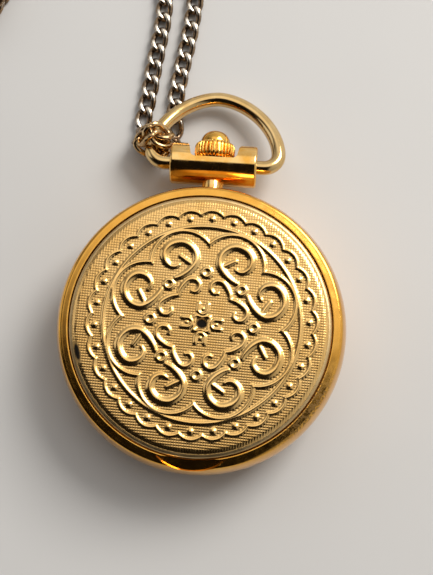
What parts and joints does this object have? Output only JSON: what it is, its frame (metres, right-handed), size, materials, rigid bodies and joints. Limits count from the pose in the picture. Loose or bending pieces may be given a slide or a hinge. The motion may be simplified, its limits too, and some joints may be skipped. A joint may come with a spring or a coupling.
{
  "type": "pocket watch",
  "caption": "Round gold-plated pocket watch with an embossed press-on back, fluted crown, swinging bow, dial, hands and quartz movement, on a curb chain.",
  "frame": {"origin": "centre of the crystal's outer face, level with the bezel's lip, on which the watch lies", "axes": "+Z out of the embossed back, +Y to 12 o'clock where the crown and the bow are, +X to the right seen from the back"},
  "size_m": [0.07, 0.0776, 0.011],
  "materials": {
    "gold_case": "polished gold plate",
    "gold_embossed": "embossed gold plate, slightly worn",
    "gold_bow": "polished pale gold plate",
    "chain_metal": "tarnished antique bronze",
    "glass": "clear polished",
    "gasket": "matt",
    "dial_white": "satin enamel",
    "index_gold": "polished",
    "hand_black": "gloss black",
    "steel": "brushed",
    "plate_nickel": "nickel-plated, grained",
    "wheel_brass": "cut brass",
    "holder_plastic": "moulded",
    "board_green": "solder mask",
    "resin_black": "moulded",
    "copper": "enamelled copper wire",
    "iron": "annealed",
    "magnet": "sintered",
    "cell_steel": "satin"
  },
  "bodies": {
    "root": {"case_middle": "gold_case", "case_bezel": "gold_case", "crystal": "glass", "crystal_gasket": "gasket", "dial": "dial_white", "dial_indexes": "index_gold", "pendant_tube": "gold_case", "bow_bar": "gold_case", "movement_holder": "holder_plastic", "main_plate": "plate_nickel", "train_bridge": "plate_nickel", "circuit_board": "board_green", "coil_core": "iron", "coil_winding": "copper", "stator": "iron", "battery": "cell_steel", "battery_clamp": "steel", "quartz_can": "steel", "ic_cap": "resin_black", "movement_screws": "steel", "setting_lever": "steel", "back_gasket": "gasket", "chain_strand_left": "chain_metal", "chain_strand_right": "chain_metal", "chain_coil": "chain_metal", "chain_clasp": "chain_metal"},
    "back": {"back_cover": "gold_embossed"},
    "bow": {"bow_wire": "gold_bow", "chain_hitch": "chain_metal"},
    "crown_carrier": {"stem_gasket": "gasket"},
    "crown": {"crown_cap": "gold_case", "stem": "steel", "clutch_pinion": "steel"},
    "minute": {"centre_wheel": "wheel_brass", "cannon_pinion": "wheel_brass", "minute_hand": "hand_black"},
    "hour": {"hour_wheel": "wheel_brass", "hour_hand": "hand_black"},
    "motion": {"minute_wheel": "wheel_brass"},
    "third": {"third_wheel": "wheel_brass"},
    "second": {"second_wheel": "wheel_brass", "second_hand": "hand_black"},
    "intermediate": {"intermediate_wheel": "wheel_brass"},
    "rotor": {"rotor_pinion": "steel", "rotor_magnet": "magnet"}
  },
  "joints": [
    {"name": "back_cover_lift", "type": "slide", "parent": "root", "child": "back", "axis": [0, 0, 1], "range_m": [0, 0.012]},
    {"name": "bow_pivot", "type": "hinge", "parent": "root", "child": "bow", "pos_m": [0, 0.0212, 0.0046], "axis": [1, 0, 0], "range_deg": [0, 130]},
    {"name": "crown_pull", "type": "slide", "parent": "root", "child": "crown_carrier", "axis": [0, 1, 0], "range_m": [0, 0.0009]},
    {"name": "crown_turn", "type": "hinge", "parent": "crown_carrier", "child": "crown", "pos_m": [0, 0.0212, 0.0046], "axis": [0, 1, 0], "continuous": true},
    {"name": "minute_turn", "type": "hinge", "parent": "root", "child": "minute", "pos_m": [0, 0, 0.005], "axis": [0, 0, 1], "continuous": true},
    {"name": "hour_turn", "type": "hinge", "parent": "root", "child": "hour", "pos_m": [0, 0, 0.0038], "axis": [0, 0, 1], "continuous": true},
    {"name": "motion_turn", "type": "hinge", "parent": "root", "child": "motion", "pos_m": [-0.0012, 0.0016, 0.004], "axis": [0, 0, 1], "continuous": true},
    {"name": "third_turn", "type": "hinge", "parent": "root", "child": "third", "pos_m": [-0.00256, -0.00093, 0.0055], "axis": [0, 0, 1], "continuous": true},
    {"name": "second_turn", "type": "hinge", "parent": "root", "child": "second", "pos_m": [0, 0, 0.006], "axis": [0, 0, 1], "continuous": true},
    {"name": "intermediate_turn", "type": "hinge", "parent": "root", "child": "intermediate", "pos_m": [0.0023, -0.00084, 0.006], "axis": [0, 0, 1], "continuous": true},
    {"name": "rotor_turn", "type": "hinge", "parent": "root", "child": "rotor", "pos_m": [0.00311, -0.00224, 0.006], "axis": [0, 0, 1], "continuous": true}
  ],
  "couplings": [
    {"joint": "hour_turn", "follows": "minute_turn", "ratio": 0.083333},
    {"joint": "motion_turn", "follows": "minute_turn", "ratio": -0.33333},
    {"joint": "third_turn", "follows": "minute_turn", "ratio": -7.5},
    {"joint": "second_turn", "follows": "minute_turn", "ratio": 60},
    {"joint": "intermediate_turn", "follows": "minute_turn", "ratio": -360},
    {"joint": "rotor_turn", "follows": "minute_turn", "ratio": 1800}
  ]
}
